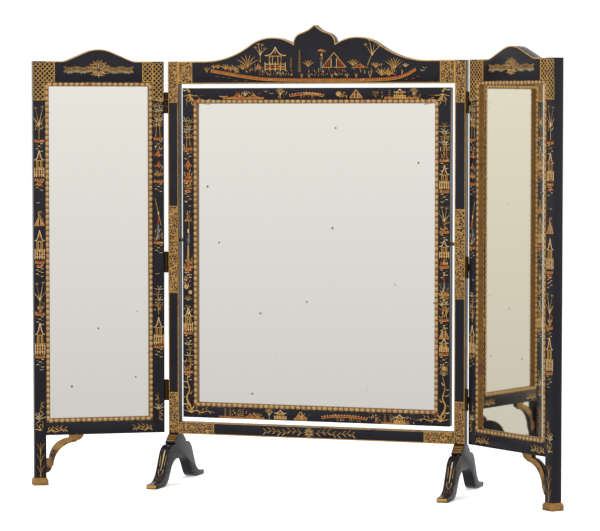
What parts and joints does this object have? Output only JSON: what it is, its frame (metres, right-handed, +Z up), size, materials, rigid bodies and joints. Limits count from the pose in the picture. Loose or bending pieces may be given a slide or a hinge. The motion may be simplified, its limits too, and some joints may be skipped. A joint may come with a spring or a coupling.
{
  "type": "dressing mirror",
  "caption": "Japanned folding dressing mirror for a table: a looking-glass swings in a footed stand, with hinged side glasses on legs",
  "frame": {"origin": "on the table top, midway between the trestle feet, in the middle of the posts' depth", "axes": "+X to the sitter's right along the stand, +Y away from the sitter, +Z up"},
  "size_m": [0.8379, 0.2384, 0.6985],
  "materials": {
    "japanned_wood": "gloss",
    "gilded_wood": "satin",
    "looking_glass": "polished",
    "backboard_wood": "matte",
    "brass": "aged",
    "nail_steel": "dull"
  },
  "bodies": {
    "stand": {"crest_rail": "japanned_wood", "bottom_rail": "japanned_wood", "left_post": "japanned_wood", "left_trestle_foot": "japanned_wood", "left_pivot_screw": "brass", "left_post_hinge_leaves": "brass", "left_post_hinge_screws": "brass", "left_hinge_pins": "brass", "right_post": "japanned_wood", "right_trestle_foot": "japanned_wood", "right_pivot_screw": "brass", "right_post_hinge_leaves": "brass", "right_post_hinge_screws": "brass", "right_hinge_pins": "brass"},
    "swing_mirror": {"mirror_left_stile": "japanned_wood", "mirror_right_stile": "japanned_wood", "mirror_bottom_rail": "japanned_wood", "mirror_top_rail": "japanned_wood", "mirror_left_slip": "gilded_wood", "mirror_top_slip": "gilded_wood", "mirror_right_slip": "gilded_wood", "mirror_bottom_slip": "gilded_wood", "mirror_left_pivot_bush": "brass", "mirror_right_pivot_bush": "brass", "mirror_glass": "looking_glass", "mirror_backboard": "backboard_wood", "mirror_back_nails": "nail_steel"},
    "left_wing": {"left_wing_inner_stile": "japanned_wood", "left_wing_outer_stile": "japanned_wood", "left_wing_bottom_rail": "japanned_wood", "left_wing_top_rail": "japanned_wood", "left_wing_inner_slip": "gilded_wood", "left_wing_top_slip": "gilded_wood", "left_wing_outer_slip": "gilded_wood", "left_wing_bottom_slip": "gilded_wood", "left_wing_block_foot": "gilded_wood", "left_wing_bracket": "gilded_wood", "left_wing_hinge_leaves": "brass", "left_wing_hinge_screws": "brass", "left_wing_glass": "looking_glass", "left_wing_backboard": "backboard_wood", "left_wing_back_nails": "nail_steel"},
    "right_wing": {"right_wing_inner_stile": "japanned_wood", "right_wing_outer_stile": "japanned_wood", "right_wing_bottom_rail": "japanned_wood", "right_wing_top_rail": "japanned_wood", "right_wing_inner_slip": "gilded_wood", "right_wing_top_slip": "gilded_wood", "right_wing_outer_slip": "gilded_wood", "right_wing_bottom_slip": "gilded_wood", "right_wing_block_foot": "gilded_wood", "right_wing_bracket": "gilded_wood", "right_wing_hinge_leaves": "brass", "right_wing_hinge_screws": "brass", "right_wing_glass": "looking_glass", "right_wing_backboard": "backboard_wood", "right_wing_back_nails": "nail_steel"}
  },
  "joints": [
    {"name": "mirror_tilt", "type": "hinge", "parent": "stand", "child": "swing_mirror", "pos_m": [0, 0, 0.37275], "axis": [1, 0, 0], "range_deg": [-30, 30]},
    {"name": "left_wing_fold", "type": "hinge", "parent": "stand", "child": "left_wing", "pos_m": [-0.23865, -0.0091, 0], "axis": [0, 0, 1], "range_deg": [-41.7, 68.3]},
    {"name": "right_wing_fold", "type": "hinge", "parent": "stand", "child": "right_wing", "pos_m": [0.23865, -0.0091, 0], "axis": [0, 0, -1], "range_deg": [-47.9, 62.1]}
  ]
}
